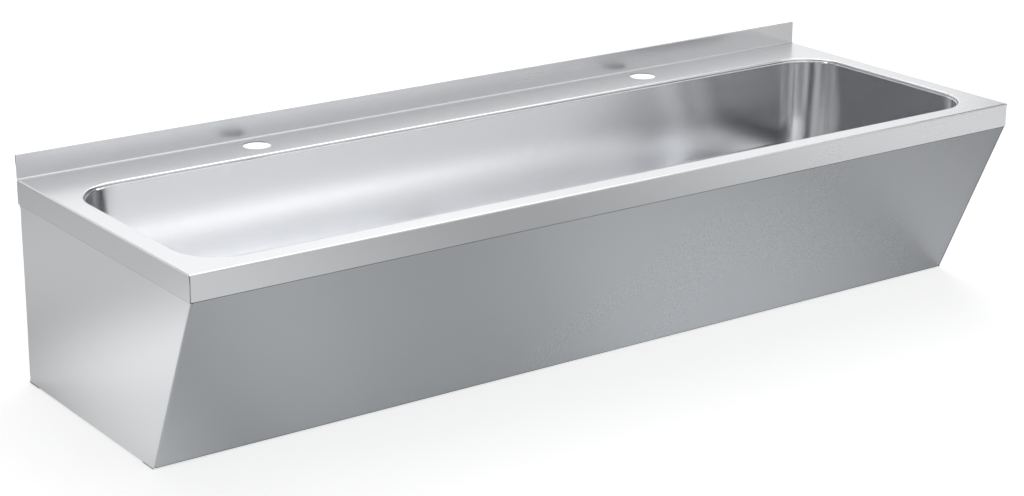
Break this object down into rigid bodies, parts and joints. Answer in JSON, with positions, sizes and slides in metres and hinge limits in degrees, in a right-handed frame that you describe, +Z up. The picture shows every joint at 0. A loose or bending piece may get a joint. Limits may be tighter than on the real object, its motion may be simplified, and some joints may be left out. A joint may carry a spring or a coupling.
{
  "type": "trough sink",
  "caption": "Long wall-hung stainless wash trough with a rear upstand, folded skirt, deep round-cornered bowl, tap holes in the rear ledge, and a casing with a raked front panel.",
  "frame": {"origin": "under the middle of the trough, level with the bottom of the casing", "axes": "+X along the trough to the right as seen from the front, +Y towards the wall, +Z up"},
  "size_m": [1.2, 0.42, 0.282],
  "materials": {
    "satin_sheet": "fine satin grain",
    "satin_bowl": "fine satin grain",
    "mill_steel": "plain mill finish",
    "plated_steel": "zinc plated",
    "polished_waste": "polished",
    "brass_washers": "plain turned brass",
    "damping_rubber": "matt, lightly embossed",
    "seal_rubber": "matt moulded rubber",
    "pale_plastic": "natural matt plastic",
    "dark_plastic": "moulded matt plastic"
  },
  "bodies": {
    "trough": {"deck": "satin_sheet", "bowl": "satin_bowl", "front_panel": "satin_sheet", "left_side_panel": "satin_sheet", "right_side_panel": "satin_sheet", "upper_wall_rail": "mill_steel", "lower_wall_rail": "mill_steel", "tap_ledge_stiffener": "mill_steel", "left_gusset": "mill_steel", "right_gusset": "mill_steel", "left_brace": "mill_steel", "right_brace": "mill_steel", "rail_screws": "plated_steel", "rail_nuts": "plated_steel", "left_damping_pad": "damping_rubber", "right_damping_pad": "damping_rubber", "earth_tag": "mill_steel", "earth_screw": "plated_steel", "earth_washers": "brass_washers", "earth_nut": "plated_steel", "waste_body": "polished_waste", "flange_seal": "seal_rubber", "lower_seal": "seal_rubber", "thrust_washer": "pale_plastic", "waste_nut": "dark_plastic"},
    "strainer": {"strainer_plate": "polished_waste", "strainer_knob": "polished_waste", "knob_rivet": "plated_steel"}
  },
  "joints": [
    {"name": "strainer_lift", "type": "slide", "parent": "trough", "child": "strainer", "axis": [0, 0, 1], "range_m": [0, 0.06]}
  ]
}
